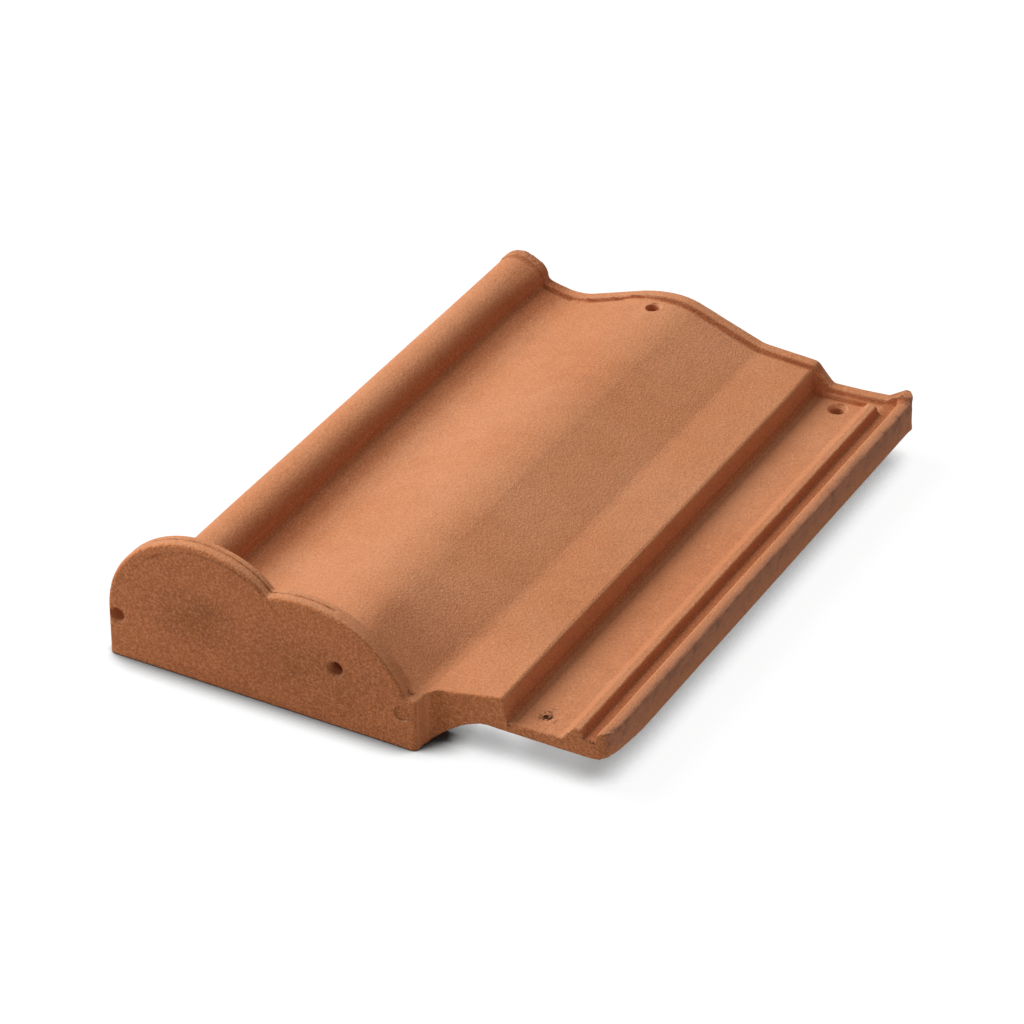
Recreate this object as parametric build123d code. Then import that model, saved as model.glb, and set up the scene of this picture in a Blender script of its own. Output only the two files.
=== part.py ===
from build123d import *
import math
import os

# Interlocking clay roof tile for the start of an eave: one pressed and fired piece with a closed front end.
# Millimetres. While it is drawn, X runs from the left edge of the end plate to the outer rib of the side
# lock, Y from the front face of the end plate to the head, and Z up from the plate's lower edge.

# Driving dimensions: the whole tile
tile_length = 420.0
body_thickness = 12.0

# End plate: two round lobes over a straight foot
plate_width = 204.3
plate_thickness = 11.0
plate_shoulder_height = 34.0
roll_lobe_radius = 62.0
roll_lobe_height = 93.5
hump_lobe_radius = 72.3
hump_lobe_height = 77.0
hump_lobe_centre = 130.7
plate_notch_round = 2.5
plate_front_round = 3.2
plate_rear_round = 1.6
rim_groove_width = 1.1
rim_groove_depth = 1.0
rim_groove_from_front = 5.4
rim_groove_end = 150.0

# Low roll along the left edge
roll_centre = 43.8
roll_radius = 15.0
roll_height = 66.5
roll_wall = 10.0
roll_side_height = 44.0
roll_flank_angle = 8.0
roll_foot_reach = 3.6
roll_foot_height = 49.3
roll_foot_slope = 9.0

# Pan, broad hump and flat landing, by the place and height of their turning points
pan_centre = 82.3
pan_height = 47.0
rise_start = 96.0
rise_end = 124.0
hump_centre = 151.0
hump_height = 64.4
fall_start = 171.0
fall_end_gap = 9.0
landing_start = 218.5
landing_height = 45.6
step_edge = 250.8
step_edge_height = 43.9
step_lean = 2.0

# Dip of the landing towards the end plate
front_landing_start = 205.0
dip_length = 80.0
dip_stations = 5

# Side lock: a channel and two ribs along the right edge
channel_height = 28.4
channel_rise = 1.4
lock_floor = 5.8
channel_width = 34.0
rib_height = 39.0
inner_rib_slope = 8.0
inner_rib_top = 4.7
lock_groove_width = 10.0
lock_groove_height = 33.8
rib_lean = 1.2
outer_rib_top = 8.3
front_corner_round = 9.0
step_round = 2.5
channel_round = 4.0
inner_rib_round = 1.6
outer_rib_round = 2.2
lock_groove_round = 1.2
lower_edge_round = 5.0
front_edge_round = 1.6
bead_round = 2.6
round_steps = 3

# Head lip and the groove before it
lip_width = 9.0
lip_rise = 1.8
roll_lip_rise = 0.6
lip_round = 3.0
lip_step_run = 11.0
lip_step_round = 4.5
lip_channel_height = 32.9
lip_bend_from_rib = 10.0
lip_bend_rise = 1.6
lip_corner_height = 40.6
head_corner_round = 13.0
head_groove_width = 2.6
head_groove_depth = 1.4
inner_rib_gap = 12.0

# Web under the landing, beside the end plate
notch_depth = 15.5
web_thickness = 12.0
web_reach = 48.0
web_overlap = 0.6
web_foot_slope = 0.8
inner_corner_round = 8.0

# Batten lugs under the head
lug_width = 34.0
lug_thickness = 15.0
lug_from_head = 42.0
lug_draft = 2.5
left_lug_centre = 93.0
right_lug_centre = 227.0

# Nail and wire holes
hole_radius = 4.2
mouth_width = 1.3
hump_hole_centre = 144.8
hump_hole_from_head = 20.0
channel_hole_centre = 273.0
channel_hole_from_head = 20.5
plate_hole_centre = 152.0
plate_hole_height = 38.9
edge_hole_centre = 6.2
edge_hole_height = 27.6
punch_centre = 271.3
punch_from_front = 30.0
punch_depth = 1.6
punch_radius = 3.5
punch_tip_radius = 0.5
ring_centre = 194.5
ring_height = 23.5
ring_radius = 4.6
ring_depth = 0.8

# Places worked out from the driving dimensions
roll_axis_height = roll_height - roll_radius
roll_lobe_axis = roll_lobe_height - roll_lobe_radius
lock_underside = channel_height - lock_floor
channel_start = step_edge + step_lean
channel_end = channel_start + channel_width
inner_rib_start = channel_end + inner_rib_slope
inner_rib_end = inner_rib_start + inner_rib_top
outer_rib_start = inner_rib_end + lock_groove_width
tile_width = outer_rib_start + outer_rib_top
lip_start = tile_length - lip_width
head_groove_start = lip_start - head_groove_width
body_front = plate_thickness / 2


def along_tile(outline, front, back):
    """Run a cross outline, drawn in X and Z, from front to back along Y."""
    return extrude(Plane.XZ.offset(-back) * outline, amount=back - front)


def block(left, right, front, back, bottom, top):
    """Plain block between the given planes."""
    corner = (Align.MIN, Align.MIN, Align.MIN)
    return Pos(left, front, bottom) * Box(right - left, back - front, top - bottom, align=corner)


def lock_line(rise):
    """Upper line of the side lock on the tile's body: each corner's X, Z and rounding."""
    return [
        (step_edge, step_edge_height + rise, step_round),
        (channel_start, channel_height + rise, channel_round),
        (channel_end, channel_height + channel_rise + rise, channel_round),
        (inner_rib_start, rib_height + rise, inner_rib_round),
        (inner_rib_end, rib_height + rise, inner_rib_round),
        (inner_rib_end + rib_lean, lock_groove_height + rise, lock_groove_round),
        (outer_rib_start - rib_lean, lock_groove_height + rise, lock_groove_round),
        (outer_rib_start, rib_height + rise, outer_rib_round),
        (tile_width, rib_height + rise, outer_rib_round),
    ]


def lip_line(rise):
    """Upper line of the head lip over the side lock, where the inner rib has ended."""
    bend = outer_rib_start - lip_bend_from_rib
    return [
        (step_edge, step_edge_height + rise, lip_step_round),
        (step_edge + lip_step_run, lip_channel_height + rise, lip_step_round),
        (bend, lip_channel_height + lip_bend_rise + rise, lip_step_round),
        (outer_rib_start, lip_corner_height + rise, outer_rib_round),
        (tile_width, lip_corner_height + rise, outer_rib_round),
    ]


def wave(landing, lift):
    """Pan, hump and its falling flank as one smooth line, lifted above the middle of the upper face."""
    fall_end = landing[0] - fall_end_gap
    climb_run = (rise_start - pan_centre) / 2 + (rise_end - rise_start) + (hump_centre - rise_end) / 2
    climb = (hump_height - pan_height) / climb_run
    fall_run = (fall_start - hump_centre) / 2 + (fall_end - fall_start) + fall_end_gap / 2
    fall = (hump_height - landing[1]) / fall_run
    pan = (pan_centre, pan_height + lift)
    rise_foot = (rise_start, pan[1] + climb * (rise_start - pan_centre) / 2)
    rise_top = (rise_end, rise_foot[1] + climb * (rise_end - rise_start))
    hump = (hump_centre, hump_height + lift)
    fall_top = (fall_start, hump[1] - fall * (fall_start - hump_centre) / 2)
    fall_foot = (fall_end, fall_top[1] - fall * (fall_end - fall_start))
    return [
        Spline(pan, rise_foot, tangents=[(1, 0), (1, climb)]),
        Line(rise_foot, rise_top),
        Spline(rise_top, hump, tangents=[(1, climb), (1, 0)]),
        Spline(hump, fall_top, tangents=[(1, 0), (1, -fall)]),
        Line(fall_top, fall_foot),
        Spline(fall_foot, (landing[0], landing[1] + lift), tangents=[(1, -fall), (1, 0)]),
    ]


def round_corner(face, place, radius):
    """Round the corner of a section face that lies nearest to a place."""
    corner = face.vertices().sort_by_distance((place[0], place[1], 0))[0]
    return fillet(corner, radius)


def cross_section(lock, dip=0.0, rise=0.0, roll_rise=0.0):
    """Cross section of the tile with the given lock line. dip is 1 beside the end plate."""
    flank = math.radians(roll_flank_angle)
    outer = roll_radius + roll_rise
    inner = roll_radius - roll_wall
    left = roll_centre - outer
    outer_side = (roll_centre + outer * math.cos(flank), roll_axis_height + outer * math.sin(flank))
    inner_side = (roll_centre + inner * math.cos(flank), roll_axis_height + inner * math.sin(flank))
    downhill = (math.sin(flank), -math.cos(flank))
    uphill = (-math.sin(flank), math.cos(flank))
    roll_foot = (roll_centre + roll_radius + roll_foot_reach, roll_foot_height + rise)
    foot_fall = (1, -math.tan(math.radians(roll_foot_slope)))
    pan = (pan_centre, pan_height + rise)
    landing_x = landing_start + dip * (front_landing_start - landing_start)
    landing_z = landing_height + dip * (plate_shoulder_height - landing_height)
    landing = (landing_x, landing_z)
    under_landing = (landing_x, landing_z - body_thickness)
    under_pan = (pan_centre, pan_height - body_thickness)
    corners = lock(rise)
    under_step = [
        (tile_width, lock_underside),
        (step_edge - body_thickness / 2, lock_underside),
        (step_edge - body_thickness, under_landing[1]),
        under_landing,
    ]
    line = [
        Line((left, roll_side_height), (left, roll_axis_height)),
        ThreePointArc((left, roll_axis_height), (roll_centre, roll_axis_height + outer), outer_side),
        Spline(outer_side, roll_foot, tangents=[downhill, foot_fall]),
        Spline(roll_foot, pan, tangents=[foot_fall, (1, 0)]),
        *wave(landing, rise),
        Polyline((landing_x, landing_z + rise), *[corner[:2] for corner in corners], *under_step),
        *wave(landing, -body_thickness),
        Spline(under_pan, inner_side, tangents=[(-1, 0), uphill]),
        ThreePointArc(
            inner_side,
            (roll_centre, roll_axis_height + inner),
            (roll_centre - inner, roll_axis_height),
        ),
        Line((roll_centre - inner, roll_axis_height), (roll_centre - inner, roll_side_height)),
        Line((roll_centre - inner, roll_side_height), (left, roll_side_height)),
    ]
    face = make_face(line)
    for corner in corners:
        face = round_corner(face, corner, corner[2])
    return round_corner(face, under_step[0], lower_edge_round)


def rounded_steps(radius):
    """Distances in from an end face and drops below full height that round its upper edge."""
    angles = [math.pi / 2 * step / round_steps for step in range(round_steps + 1)]
    return [(radius * (1 - math.cos(angle)), radius * (1 - math.sin(angle))) for angle in angles]


def through_sections(lock, stations):
    """Join cross sections given by their Y, dip, rise and roll rise."""
    faces = []
    for place, dip, rise, roll_rise in stations:
        faces.append(Plane.XZ.offset(-place) * cross_section(lock, dip, rise, roll_rise))
    return loft(faces, ruled=True)


def bead():
    """Rounded front edge of the body on the plate, where it rises behind the lobes."""
    stations = [(body_front + run, 1.0, -drop, -drop) for run, drop in rounded_steps(bead_round)]
    stations.append((notch_depth + front_edge_round, 1.0, 0.0, 0.0))
    corner_end = plate_width + inner_corner_round
    beside_landing = block(0, corner_end, 0, tile_length, 0, roll_lobe_height)
    return through_sections(lock_line, stations) & beside_landing


def tile_body():
    """Body from the notch to the head, with the landing dipping to the plate's shoulder."""
    stations = [(notch_depth + run, 1.0, -drop, -drop) for run, drop in rounded_steps(front_edge_round)]
    dip_start = notch_depth + front_edge_round
    for step in range(1, dip_stations):
        share = step / (dip_stations - 1)
        dip = (1 + math.cos(math.pi * share)) / 2
        stations.append((dip_start + share * dip_length, dip, 0.0, 0.0))
    front = through_sections(lock_line, stations)
    return front + along_tile(cross_section(lock_line), dip_start + dip_length, head_groove_start)


def tile_head():
    """Narrow groove and the raised lip along the head, with its end rounded over."""
    groove = along_tile(cross_section(lip_line, rise=-head_groove_depth), head_groove_start, lip_start)
    lip_section = cross_section(lip_line, rise=lip_rise, roll_rise=roll_lip_rise)
    lip = along_tile(lip_section, lip_start, tile_length - lip_round)
    stations = []
    for run, drop in rounded_steps(lip_round):
        stations.append((tile_length - run, 0.0, lip_rise - drop, roll_lip_rise - drop))
    return groove + lip + through_sections(lip_line, stations)


def plate_outline(inset=0.0):
    """Front outline of the end plate, drawn in X and Z, moved inwards along its curved rim by inset."""
    corner = (Align.MIN, Align.MIN)
    roll_lobe = Pos(roll_lobe_radius, roll_lobe_axis) * Circle(roll_lobe_radius - inset)
    hump_lobe_axis = hump_lobe_height - hump_lobe_radius
    hump_lobe = Pos(hump_lobe_centre, hump_lobe_axis) * Circle(hump_lobe_radius - inset)
    left_side = Pos(inset, 0) * Rectangle(roll_lobe_radius - inset, roll_lobe_axis, align=corner)
    foot = Pos(roll_lobe_radius, 0) * Rectangle(
        plate_width - roll_lobe_radius, plate_shoulder_height - inset, align=corner
    )
    window = Rectangle(plate_width, roll_lobe_height, align=corner)
    outline = ((roll_lobe + hump_lobe + foot) & window) + left_side
    return outline.face()


def end_plate():
    """Closed end with a rounded rim, parted by a fine groove along the lobes."""
    between_lobes = ((roll_lobe_radius + hump_lobe_centre) / 2, hump_lobe_height)
    under_hump_lobe = (hump_lobe_centre + hump_lobe_radius / 2, plate_shoulder_height)
    outline = round_corner(plate_outline(), between_lobes, plate_notch_round)
    outline = round_corner(outline, under_hump_lobe, plate_notch_round)
    plate = along_tile(outline, 0, plate_thickness)
    for side, radius in ((0, plate_front_round), (-1, plate_rear_round)):
        rim = plate.edges().group_by(Axis.Y)[side].sort_by(Axis.Z)[1:]
        plate = fillet(rim, radius)
    groove_back = rim_groove_from_front + rim_groove_width
    groove = block(0, rim_groove_end, rim_groove_from_front, groove_back, roll_lobe_axis, roll_lobe_height)
    return plate - (groove - along_tile(plate_outline(rim_groove_depth), 0, plate_thickness))


def web():
    """Web under the landing, beside the end plate, with a hollow lower edge."""
    arc_end = (plate_width + web_reach, lock_underside + web_overlap)
    inside = plate_width - plate_thickness
    top = plate_shoulder_height - body_thickness / 2
    line = [
        Polyline((plate_width, 0), (inside, 0), (inside, top), (arc_end[0], top), arc_end),
        Spline(arc_end, (plate_width, 0), tangents=[(-1, 0), (-1, -web_foot_slope)]),
    ]
    return along_tile(make_face(line), plate_thickness / 2, notch_depth + web_thickness)


def lug(centre):
    """Batten lug under the head: its front face is upright, and its back and sides are drafted."""
    front = tile_length - lug_from_head - lug_thickness
    back = front + lug_thickness
    top = pan_height - body_thickness / 2
    side_outline = make_face(
        Polyline((front, 0), (back - lug_draft, 0), (back, top), (front, top), close=True)
    )
    half = lug_width / 2
    front_outline = make_face(
        Polyline((lug_draft - half, 0), (half - lug_draft, 0), (half, top), (-half, top), close=True)
    )
    across = extrude(Plane.YZ * side_outline, amount=half, both=True)
    return Pos(centre, 0, 0) * (across & along_tile(front_outline, front, back))


def plan_prism():
    """Plan outline of the tile, set back beside the end plate, as a tall prism."""
    outline = make_face(
        Polyline(
            (0, 0),
            (plate_width, 0),
            (plate_width, notch_depth),
            (tile_width, notch_depth),
            (tile_width, tile_length),
            (0, tile_length),
            close=True,
        )
    )
    outline = round_corner(outline, (plate_width, notch_depth), inner_corner_round)
    outline = round_corner(outline, (tile_width, notch_depth), front_corner_round)
    outline = round_corner(outline, (tile_width, tile_length), head_corner_round)
    return extrude(outline, amount=roll_lobe_height)


def hole_tool(depth):
    """Round hole down from the origin along Z, with its mouth widened at the top."""
    shaft = Cylinder(hole_radius, 2 * depth)
    mouth = Cone(hole_radius, hole_radius + 2 * mouth_width, 2 * mouth_width)
    return shaft + mouth


def across_plate(shape, centre, height):
    """Turn a shape drawn along Z to point out of the front face of the end plate, at a place on it."""
    return Pos(centre, 0, height) * Rot(90, 0, 0) * shape


tile = tile_body() + tile_head() + bead() + end_plate() + web()
tile += lug(left_lug_centre) + lug(right_lug_centre)
tile &= plan_prism()
rib_stop = lip_start - inner_rib_gap
lock_groove_end = outer_rib_start - rib_lean
tile -= block(channel_end, lock_groove_end, rib_stop, lip_start, lock_groove_height, hump_height)
hump_hole_place = Pos(hump_hole_centre, tile_length - hump_hole_from_head, hump_height)
tile -= hump_hole_place * hole_tool(2 * body_thickness)
channel_hole_place = Pos(channel_hole_centre, tile_length - channel_hole_from_head, channel_height)
tile -= channel_hole_place * hole_tool(body_thickness)
tile -= across_plate(hole_tool(2 * plate_thickness), plate_hole_centre, plate_hole_height)
tile -= across_plate(hole_tool(2 * plate_thickness), edge_hole_centre, edge_hole_height)
tile -= across_plate(Cylinder(ring_radius, 2 * ring_depth), ring_centre, ring_height)
punch = Cone(punch_tip_radius, punch_radius, 2 * punch_depth)
tile -= Pos(punch_centre, punch_from_front, channel_height) * punch

# The finished tile stands on its plate and lugs, centred over the origin
roof_tile = Pos(-tile_width / 2, -tile_length / 2, 0) * tile.solid()
os.makedirs("parts", exist_ok=True)
export_step(roof_tile, "parts/roof_tile.step")
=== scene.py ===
import math
import bmesh
import bpy
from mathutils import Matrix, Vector, noise


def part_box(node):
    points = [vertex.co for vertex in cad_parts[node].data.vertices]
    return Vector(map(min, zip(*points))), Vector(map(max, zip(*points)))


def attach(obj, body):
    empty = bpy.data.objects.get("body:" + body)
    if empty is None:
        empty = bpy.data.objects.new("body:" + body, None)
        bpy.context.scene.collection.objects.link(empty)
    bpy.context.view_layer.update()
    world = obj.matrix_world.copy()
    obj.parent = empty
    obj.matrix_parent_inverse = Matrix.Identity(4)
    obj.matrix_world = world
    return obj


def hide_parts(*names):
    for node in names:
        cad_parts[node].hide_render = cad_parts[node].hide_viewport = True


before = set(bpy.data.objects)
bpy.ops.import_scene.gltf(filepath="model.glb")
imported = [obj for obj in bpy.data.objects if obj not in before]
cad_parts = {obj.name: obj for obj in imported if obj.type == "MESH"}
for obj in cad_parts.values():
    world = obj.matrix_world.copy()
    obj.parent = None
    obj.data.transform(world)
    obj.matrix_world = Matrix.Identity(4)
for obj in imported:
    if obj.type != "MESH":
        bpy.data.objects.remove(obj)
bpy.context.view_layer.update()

# Roof tile: one piece of terracotta, pressed in a mould, trimmed wet and fired without glaze. The packed
# solid gives every form and size. Its skin is cut here into a fine net, and the net gets the soft edges,
# the slight waves and the small broken places of fired clay, then its matte and sandy finish.
along_pitch = 0.0082
across_pitch = 0.0058
edge_pitch = 0.0030
facet_angle = math.radians(2.5)
crease_angle = math.radians(32)
crease_strength = 0.32
underside_limit = -0.3
side_limit = 0.85
steep_limit = 0.55
low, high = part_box("roof_tile")
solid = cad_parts["roof_tile"]
bpy.ops.object.select_all(action="DESELECT")
tile = solid.copy()
tile.data = solid.data.copy()
tile.name = "fired_tile"
tile.parent = None
bpy.context.scene.collection.objects.link(tile)
bpy.context.view_layer.objects.active = tile
tile.select_set(True)
bpy.ops.object.mode_set(mode="EDIT")
bpy.ops.mesh.select_mode(type="FACE")
bpy.ops.mesh.select_all(action="SELECT")
bpy.ops.mesh.remove_doubles(threshold=0.00001)
bpy.ops.mesh.dissolve_limited(angle_limit=facet_angle)


def slice_across(axis, start, end, pitch, facing_limit=1.1):
    """Cut the skin by evenly spaced planes square to one axis, and its underside by every other one."""
    normal = [0.0, 0.0, 0.0]
    normal[axis] = 1.0
    count = max(1, round((end - start) / pitch))
    for step in range(count):
        place = [0.0, 0.0, 0.0]
        place[axis] = start + (end - start) * (step + 0.5) / count
        bpy.ops.mesh.select_all(action="SELECT")
        for face in bmesh.from_edit_mesh(tile.data).faces:
            in_view = face.normal.z > underside_limit or step % 2 == 0
            face.select_set(in_view and abs(face.normal[axis]) < facing_limit)
        bpy.ops.mesh.bisect(plane_co=place, plane_no=normal, threshold=0.00002)


plate_back = low[1] + 0.012
holes_front = high[1] - 0.030
side_edge = high[0] - 0.010
slice_across(1, low[1], plate_back, edge_pitch)
slice_across(1, plate_back, holes_front, along_pitch)
slice_across(1, holes_front, high[1], edge_pitch)
slice_across(0, low[0], side_edge, across_pitch, side_limit)
slice_across(0, side_edge, high[0], edge_pitch, side_limit)
slice_across(2, low[2], high[2], across_pitch, steep_limit)
bpy.ops.mesh.select_all(action="SELECT")
bpy.ops.mesh.remove_doubles(threshold=0.00005)
bpy.ops.object.mode_set(mode="OBJECT")

skin = bmesh.new()
skin.from_mesh(tile.data)
crease = skin.edges.layers.float.new("crease_edge")
arris = skin.verts.layers.float.new("arris")
for edge in skin.edges:
    if len(edge.link_faces) != 2:
        continue
    turn = edge.calc_face_angle_signed(0.0)
    if abs(turn) > crease_angle:
        edge[crease] = crease_strength
    if turn > crease_angle:
        for corner in edge.verts:
            corner[arris] = 1.0
skin.to_mesh(tile.data)
skin.free()
soften = tile.modifiers.new("soften", "SUBSURF")
soften.levels = 1
soften.render_levels = 1
bpy.ops.object.modifier_apply(modifier=soften.name)


def ramp(value, start, end):
    """0 before start, 1 after end, and smooth between them."""
    share = min(1.0, max(0.0, (value - start) / (end - start)))
    return share * share * (3.0 - 2.0 * share)


def near(place, centre, reach):
    """1 at a centre, falling to 0 at the reach, for soft patches."""
    return 1.0 - ramp((place - Vector(centre)).length, 0.0, reach)


def fuller(across, along, radius, gain):
    """Push a point of a rounded corner outwards, most at its middle. Both offsets are from its centre."""
    if across <= 0.0 or along <= 0.0:
        return 0.0, 0.0
    reach = math.hypot(across, along)
    doubled = 2.0 * across * along / (reach * reach)
    push = gain * doubled * doubled * min(1.0, reach / radius)
    return across * push, along * push


def warp(place):
    """How a point moves where the fired tile is fuller, sagged or lifted from its drawn lines."""
    move = Vector((0.0, 0.0, 0.0))
    to_head = ramp(place.y, low[1], high[1])
    # the skirt under the lock hangs lower, most at its outer edge, and its lower edge is less rounded
    under = 1.0 - ramp(place.z, 0.0226, 0.0340)
    from_front = ramp(place.y, -0.1930, -0.1500)
    by_side = from_front * ramp(place.x, 0.1340, 0.1535)
    move.z -= under * ramp(place.x, 0.0760, 0.0900) * (0.0012 + 0.0024 * by_side)
    across, down = fuller(place.x - high[0] + 0.0050, 0.0276 - place.z, 0.0050, 0.22 * from_front)
    move += Vector((across, 0.0, -down))
    # the front corner of the lock is rounder
    across, along = fuller(place.x - high[0] + 0.0150, low[1] + 0.0305 - place.y, 0.0150, -0.09)
    move += Vector((across, -along, 0.0))
    # the head corner beside the lock is fuller and lifted
    across, along = fuller(place.x - high[0] + 0.0130, place.y - high[1] + 0.0130, 0.0130, 0.09)
    move += Vector((across, along, 0.0))
    above = ramp(place.z, 0.0260, 0.0340)
    move.z += 0.0012 * above * near(Vector((place.x, place.y, 0.0)), (high[0], high[1], 0.0), 0.040)
    # the roll stands a little higher towards the end plate, and the head is lifted over the hump
    on_roll = 1.0 - ramp(abs(place.x + 0.1151), 0.0120, 0.0260)
    behind_plate = ramp(place.y, low[1] + 0.0110, low[1] + 0.0200)
    move.z += 0.0021 * on_roll * behind_plate * (1.0 - 0.6 * to_head)
    flank = ramp(place.x, -0.1080, -0.1010) * (1.0 - ramp(place.x, -0.0900, -0.0780))
    move.x += 0.0028 * flank * ramp(place.y, 0.1500, 0.2050)
    at_head = ramp(place.y, high[1] - 0.0500, high[1])
    move.z += 0.0015 * at_head * ramp(place.x, -0.0300, 0.0100) * (1.0 - ramp(place.x, 0.0880, 0.1000))
    # the left lobe of the end plate is a little lower than drawn
    on_plate = 1.0 - behind_plate
    on_lobe = 1.0 - ramp(place.x, -0.0900, -0.0500)
    move.z -= 0.0019 * on_plate * on_lobe * ramp(place.z, 0.0350, 0.0935)
    return move


# Places on the tile where the clay broke, burnt darker or lost its sharp edge, and the creases and edges
# that get painted shade and painted highlights
roll_end = (-0.1130, high[1], 0.0640)
rib_end = (0.1540, high[1] - 0.004, 0.0400)
punch_mark = (0.1124, low[1] + 0.0300, 0.0284)
crease_line = -0.0950
step_foot = 0.0945
lock_line = 0.1455
groove_front = high[1] - 0.0116
lip_foot = high[1] - 0.0090
rim_groove = low[1] + 0.00595
arris_values = [item.value for item in tile.data.attributes["arris"].data]
broken = []
burnt = []
painted_upright_shade = []
facing = []
painted_hollow_shade = []
smoke = []
painted_edge_highlight = []
shifts = []
for vertex in tile.data.vertices:
    place = vertex.co.copy()
    normal = vertex.normal.copy()
    slow = 0.5 + 0.5 * noise.noise(place * 24.0)
    quick = 0.5 + 0.5 * noise.noise(place * 120.0)
    crumbs = noise.noise(place * 420.0)
    edge_share = arris_values[vertex.index]
    shift = 0.00014 * slow + 0.00007 * quick
    shift += edge_share * 0.00012 * ramp(crumbs + 0.4 * quick, 0.05, 0.55)
    side = ramp(place.x, high[0] - 0.0060, high[0] - 0.0015)
    patches = noise.noise(Vector((place.x * 170.0, place.y * 150.0, place.z * 210.0)))
    side_top = side * ramp(place.z, 0.0250, 0.0350)
    dark = 0.35 * side + 0.35 * side_top + 0.3 * side_top * ramp(patches, -0.2, 0.4)
    shift += side_top * 0.00030 * ramp(patches + 0.8 * crumbs, 0.0, 0.5)
    worn = max(near(place, roll_end, 0.017), 0.7 * near(place, rib_end, 0.009))
    shift += worn * 0.00025 * ramp(crumbs, -0.2, 0.5)
    pitted = ramp(near(place, punch_mark, 0.0115) + 0.45 * noise.noise(place * 260.0), 0.22, 0.66)
    shift += 0.0005 * pitted * ramp(normal.z, 0.3, 0.8)
    broken.append(max(worn, pitted, 0.6 * side_top * ramp(patches, 0.1, 0.45)))
    burnt.append(dark)
    # painted shade: upright faces are marked to take a deeper copy of the clay colour
    painted_upright_shade.append(1.0 - ramp(abs(normal.z), 0.25, 0.80))
    facing.append(ramp(-normal.y, 0.45, 0.85) * (1.0 - ramp(place.y, low[1] + 0.03, low[1] + 0.05)))
    # painted shade: the crease at the roll's foot, the step's foot and the lock line are darkened
    crease_shade = max(
        1.0 - ramp(abs(place.x - crease_line), 0.0040, 0.0150),
        1.0 - ramp(abs(place.x - step_foot), 0.0008, 0.0030),
        1.0 - ramp(abs(place.x - lock_line), 0.0030, 0.0055),
    )
    left_patch = near(Vector((place.x * 0.55, place.z, 0.0)), (-0.0990 * 0.55, 0.0430, 0.0), 0.028)
    long_patch = near(Vector((place.x * 0.35, place.z, 0.0)), (-0.0250 * 0.35, 0.0330, 0.0), 0.032)
    smoke.append(max(left_patch, 0.55 * long_patch))
    # the groove before the lip is smeared shut over the pan, and opens only in short dashes there
    in_groove = ramp(place.y, groove_front - 0.0012, groove_front)
    in_groove *= 1.0 - ramp(place.y, lip_foot, lip_foot + 0.0012)
    over_pan = ramp(place.x, -0.0900, -0.0790) * (1.0 - ramp(place.x, -0.0300, -0.0060))
    dashes = ramp(noise.noise(Vector((place.x * 95.0, 0.3, 0.7))), -0.10, 0.15)
    closed = in_groove * over_pan * ramp(normal.z, 0.2, 0.6) * dashes
    # the open stretches of the groove before the lip get painted shade too
    crease_shade = max(crease_shade * ramp(place.y, low[1] + 0.0110, low[1] + 0.0200), in_groove * (1.0 - closed))
    painted_hollow_shade.append(crease_shade * ramp(normal.z, 0.0, 0.3))
    # the fine groove along the rim of the end plate is half filled with slip
    in_rim = ramp(place.y, rim_groove - 0.0010, rim_groove - 0.0004)
    in_rim *= 1.0 - ramp(place.y, rim_groove + 0.0004, rim_groove + 0.0010)
    filled = in_rim * (1.0 - edge_share) * ramp(place.z, 0.030, 0.034)
    shift -= 0.0008 * filled * (0.6 + 0.4 * quick)
    # painted highlight: edges turned towards the lamp on the left are lightened
    lit = ramp(-normal.x - 0.4 * min(0.0, normal.y), 0.15, 0.65) * ramp(normal.z, -0.1, 0.3)
    painted_edge_highlight.append(edge_share * lit)
    shifts.append(Vector((0.0, 0.0, 0.0008 * closed)) - normal * shift + warp(place))
for vertex, shift in zip(tile.data.vertices, shifts):
    place = vertex.co + shift
    vertex.co = [min(max(value, least), most) for value, least, most in zip(place, low, high)]
carried = {"broken": broken, "burnt": burnt, "painted_upright_shade": painted_upright_shade, "facing": facing}
carried.update({"painted_hollow_shade": painted_hollow_shade, "smoke": smoke, "painted_edge_highlight": painted_edge_highlight})
for name, values in carried.items():
    tile.data.attributes.new(name, "FLOAT", "POINT").data.foreach_set("value", values)

for polygon in tile.data.polygons:
    polygon.use_smooth = True
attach(tile, "root")
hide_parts("roof_tile")

# The tile's finish: bare fired clay. Faces that face upwards are a pale orange-brown. The upright ones get
# a deeper, more saturated copy of it as painted shade.
# The end plate's front gets a still more saturated copy, also painted shade, with its own coarser grit and
# smoke patches. Broken and burnt places are dark purple-brown.
clay = bpy.data.materials.new("fired_clay")
clay.use_nodes = True
nodes = clay.node_tree.nodes
links = clay.node_tree.links
shader = nodes["Principled BSDF"]
shader.inputs["Roughness"].default_value = 0.9
shader.inputs["Specular IOR Level"].default_value = 0.25
where = nodes.new("ShaderNodeTexCoord").outputs["Object"]


def grain(scale, detail, roughness=0.5):
    """Noise through the clay, with its patch size set by scale per metre."""
    node = nodes.new("ShaderNodeTexNoise")
    node.inputs["Scale"].default_value = scale
    node.inputs["Detail"].default_value = detail
    node.inputs["Roughness"].default_value = roughness
    links.new(where, node.inputs["Vector"])
    return node.outputs["Fac"]


def spread(value, start, end, low_value=0.0, high_value=1.0):
    """Stretch part of a value's range over another, clamped."""
    node = nodes.new("ShaderNodeMapRange")
    for socket, number in zip(node.inputs[1:5], (start, end, low_value, high_value)):
        socket.default_value = number
    links.new(value, node.inputs["Value"])
    return node.outputs["Result"]


def calculate(operation, first, second):
    """One sum on two values, either of which may be a plain number."""
    node = nodes.new("ShaderNodeMath")
    node.operation = operation
    for socket, value in zip(node.inputs, (first, second)):
        if isinstance(value, float):
            socket.default_value = value
        else:
            links.new(value, socket)
    return node.outputs["Value"]


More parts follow.
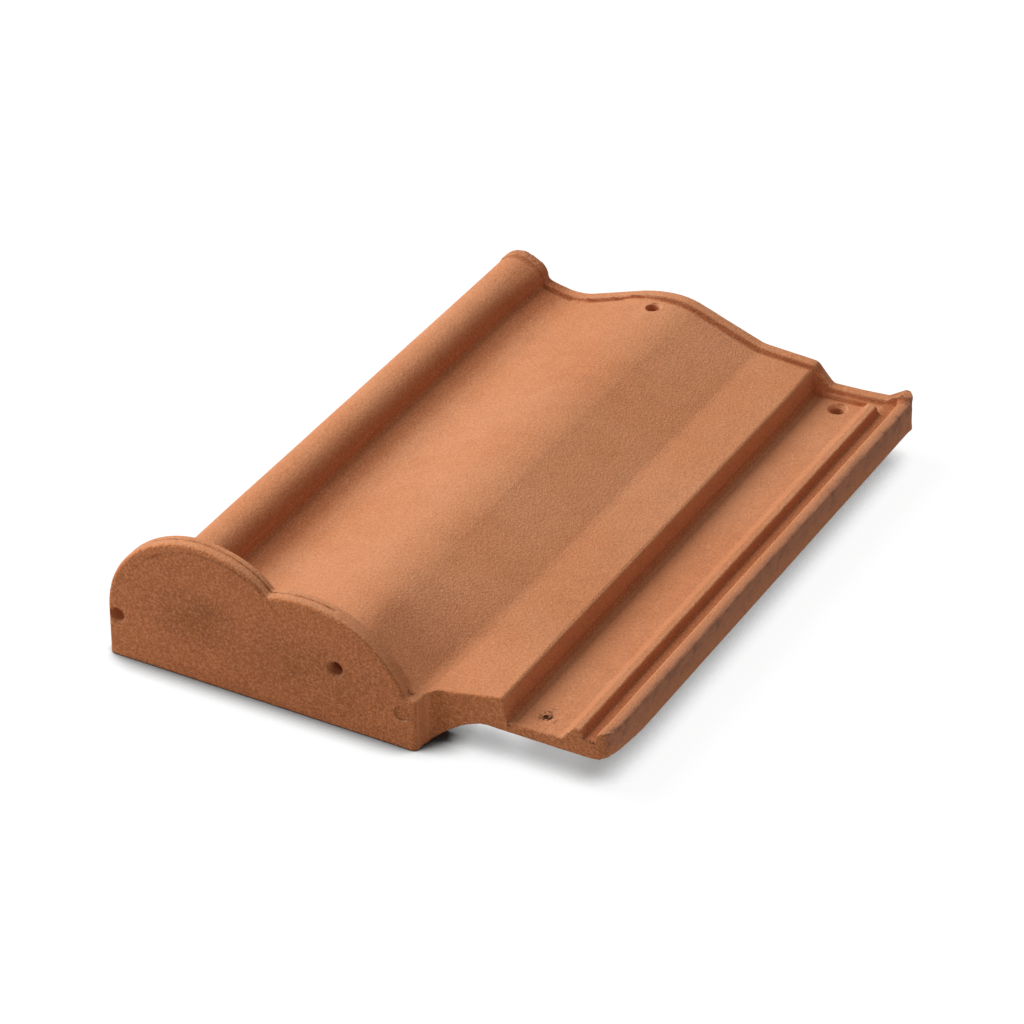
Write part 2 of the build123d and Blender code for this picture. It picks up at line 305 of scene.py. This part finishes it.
def blend(first, second, share, way="MIX"):
    """Mix two colours by a share."""
    node = nodes.new("ShaderNodeMix")
    node.data_type = "RGBA"
    node.blend_type = way
    for name, value in (("Factor_Float", share), ("A_Color", first), ("B_Color", second)):
        socket = next(item for item in node.inputs if item.identifier == name)
        if isinstance(value, tuple):
            socket.default_value = (*value, 1.0)
        elif isinstance(value, float):
            socket.default_value = value
        else:
            links.new(value, socket)
    return next(item for item in node.outputs if item.identifier == "Result_Color")


def painted(name):
    """Value that the net carries at each of its points."""
    node = nodes.new("ShaderNodeAttribute")
    node.attribute_name = name
    return node.outputs["Fac"]


flat_clay = (0.590, 0.248, 0.116)
warm_clay = (0.560, 0.216, 0.092)
shaded_steep_clay = (0.580, 0.206, 0.082)
shaded_plate_clay = (0.640, 0.212, 0.074)
smoked_clay = (0.420, 0.136, 0.046)
scorched = (0.270, 0.118, 0.070)
crumbled = (0.170, 0.070, 0.036)
highlight_pale = (0.760, 0.440, 0.270)
pale_grit = (0.850, 0.400, 0.190)
sand_grain = (0.780, 0.470, 0.300)
clouds = grain(14.0, 2.0)
mottle = grain(70.0, 3.0)
grit = grain(640.0, 4.0, 0.6)
sand = grain(1100.0, 2.0)
broken_value = painted("broken")
burnt_value = painted("burnt")
painted_upright_shade_value = painted("painted_upright_shade")
facing_value = painted("facing")
level_colour = blend(flat_clay, warm_clay, spread(clouds, 0.35, 0.65))
# painted shade: upright faces take a deeper, more saturated copy of the clay colour
colour = blend(level_colour, shaded_steep_clay, painted_upright_shade_value)
smoke_share = calculate("MULTIPLY", painted("smoke"), spread(mottle, 0.2, 0.7, 0.4, 1.0))
# painted shade: the end plate's front takes a more saturated copy of the clay colour, mixed with its real
# smoke patches
plate_colour = blend(shaded_plate_clay, smoked_clay, smoke_share)
colour = blend(colour, plate_colour, facing_value)
# a faint line runs inside the rim of the left lobe
lobe_centre = (-0.0914, 0.0, 0.0260)
lobe_line_radius = 0.0611
across = nodes.new("ShaderNodeVectorMath")
across.operation = "MULTIPLY"
across.inputs[1].default_value = (1.0, 0.0, 1.0)
links.new(where, across.inputs[0])
from_centre = nodes.new("ShaderNodeVectorMath")
from_centre.operation = "DISTANCE"
from_centre.inputs[1].default_value = lobe_centre
links.new(across.outputs["Vector"], from_centre.inputs[0])
off_line = calculate("ABSOLUTE", calculate("SUBTRACT", from_centre.outputs["Value"], lobe_line_radius), 0.0)
line_share = spread(off_line, 0.0003, 0.0012, 1.0, 0.0)
line_share = calculate("MULTIPLY", line_share, spread(mottle, 0.35, 0.6, 0.2, 0.8))
line_share = calculate("MULTIPLY", line_share, facing_value)
separate = nodes.new("ShaderNodeSeparateXYZ")
links.new(where, separate.inputs["Vector"])
line_share = calculate("MULTIPLY", line_share, spread(separate.outputs["Z"], 0.0580, 0.0680))
colour = blend(colour, (0.62, 0.52, 0.45), line_share, "MULTIPLY")
# painted shade in the creases and the open head groove
colour = blend(colour, (0.76, 0.63, 0.53), painted("painted_hollow_shade"), "MULTIPLY")
# painted highlight on the edges turned to the lamp
colour = blend(colour, highlight_pale, calculate("MULTIPLY", painted("painted_edge_highlight"), 0.55))
colour = blend(colour, (0.80, 0.76, 0.72), spread(mottle, 0.45, 0.80, 0.0, 0.4), "MULTIPLY")
grit_gain = spread(facing_value, 0.0, 1.0, 0.40, 0.62)
grit_share = calculate("MULTIPLY", spread(grit, 0.44, 0.68), grit_gain)
colour = blend(colour, (0.55, 0.48, 0.43), grit_share, "MULTIPLY")
colour = blend(colour, sand_grain, spread(sand, 0.55, 0.75, 0.0, 0.4))
pale_share = calculate("MULTIPLY", spread(grit, 0.46, 0.34), spread(facing_value, 0.0, 1.0, 0.05, 0.35))
colour = blend(colour, pale_grit, pale_share)
colour = blend(colour, scorched, calculate("MULTIPLY", burnt_value, 0.85))
crumb_share = calculate("MULTIPLY", broken_value, spread(grit, 0.45, 0.60))
colour = blend(colour, crumbled, crumb_share)
links.new(colour, shader.inputs["Base Color"])
coarse = calculate("MULTIPLY", spread(facing_value, 0.0, 1.0, 0.9, 5.5), grit)
height = calculate("ADD", coarse, calculate("MULTIPLY", sand, 0.5))
relief = nodes.new("ShaderNodeBump")
relief.inputs["Strength"].default_value = 0.8
relief.inputs["Distance"].default_value = 0.0008
links.new(height, relief.inputs["Height"])
links.new(relief.outputs["Normal"], shader.inputs["Normal"])
tile.data.materials.clear()
tile.data.materials.append(clay)

# Floor: a pale sheet that the tile lies on, wide enough to fill the view. Where the camera sees it, it
# glows white, dimmed by ambient occlusion near the tile into a painted soft shadow
bpy.ops.object.select_all(action="DESELECT")
bpy.ops.mesh.primitive_plane_add(size=30.0, location=(0.0, 0.0, -0.0002))
floor = bpy.context.active_object
floor.name = "floor"
paper = bpy.data.materials.new("pale_floor")
paper.use_nodes = True
paper_nodes = paper.node_tree.nodes
paper_links = paper.node_tree.links
paper_shader = paper_nodes["Principled BSDF"]
paper_shader.inputs["Base Color"].default_value = (0.8, 0.8, 0.8, 1.0)
paper_shader.inputs["Roughness"].default_value = 0.9
paper_shader.inputs["Specular IOR Level"].default_value = 0.0
# painted shadow: the floor's glow darkens where the tile is close above or beside it
closeness = paper_nodes.new("ShaderNodeAmbientOcclusion")
closeness.inputs["Distance"].default_value = 0.028
shade = paper_nodes.new("ShaderNodeMapRange")
for socket, number in zip(shade.inputs[1:5], (0.46, 0.78, 0.0, 1.0)):
    socket.default_value = number
paper_links.new(closeness.outputs["AO"], shade.inputs["Value"])
painted_shadow_glow = paper_nodes.new("ShaderNodeEmission")
painted_shadow_glow.inputs["Strength"].default_value = 1.08
paper_links.new(shade.outputs["Result"], painted_shadow_glow.inputs["Color"])
seen = paper_nodes.new("ShaderNodeLightPath")
seen_ray = seen.outputs["Is Camera Ray"]
for mirrored in ("Is Glossy Ray", "Is Transmission Ray"):
    either = paper_nodes.new("ShaderNodeMath")
    either.operation = "MAXIMUM"
    paper_links.new(seen_ray, either.inputs[0])
    paper_links.new(seen.outputs[mirrored], either.inputs[1])
    seen_ray = either.outputs["Value"]
seen_share = paper_nodes.new("ShaderNodeMath")
seen_share.operation = "MULTIPLY"
seen_share.inputs[1].default_value = 0.86
paper_links.new(seen_ray, seen_share.inputs[0])
surface = paper_nodes.new("ShaderNodeMixShader")
paper_links.new(seen_share.outputs["Value"], surface.inputs[0])
paper_links.new(paper_shader.outputs["BSDF"], surface.inputs[1])
paper_links.new(painted_shadow_glow.outputs["Emission"], surface.inputs[2])
paper_links.new(surface.outputs["Shader"], paper_nodes["Material Output"].inputs["Surface"])
floor.data.materials.append(paper)

# Studio light: one large soft lamp high on the left, and an even pale surround
world = bpy.context.scene.world or bpy.data.worlds.new("surround")
bpy.context.scene.world = world
world.use_nodes = True
surround = world.node_tree.nodes["Background"]
surround.inputs["Color"].default_value = (1.0, 1.0, 1.0, 1.0)
surround.inputs["Strength"].default_value = 0.39


def soft_lamp(name, place, aim, size, power):
    """Square soft lamp at a place, turned to face another."""
    bpy.ops.object.select_all(action="DESELECT")
    bpy.ops.object.light_add(type="AREA", location=place)
    lamp = bpy.context.active_object
    lamp.name = name
    lamp.data.shape = "SQUARE"
    lamp.data.size = size
    lamp.data.energy = power
    direction = Vector(aim) - Vector(place)
    lamp.rotation_euler = direction.to_track_quat("-Z", "Y").to_euler()
    return lamp


soft_lamp("key_lamp", (-1.56, -0.06, 1.70), (0.0, 0.0, 0.04), 1.6, 61.5)

# Camera: a long lens, at the angle from which the tile is seen from its front right corner
camera_data = bpy.data.cameras.new("camera")
camera_data.lens = 162.5
camera_data.sensor_width = 36.0
camera_data.clip_end = 60.0
camera = bpy.data.objects.new("camera", camera_data)
bpy.context.scene.collection.objects.link(camera)
camera.location = (1.09888, -2.01420, 1.53119)
camera.rotation_euler = (math.radians(90.0 - 33.266), 0.0, math.radians(28.819))
bpy.context.scene.camera = camera
bpy.context.scene.view_settings.view_transform = "Standard"
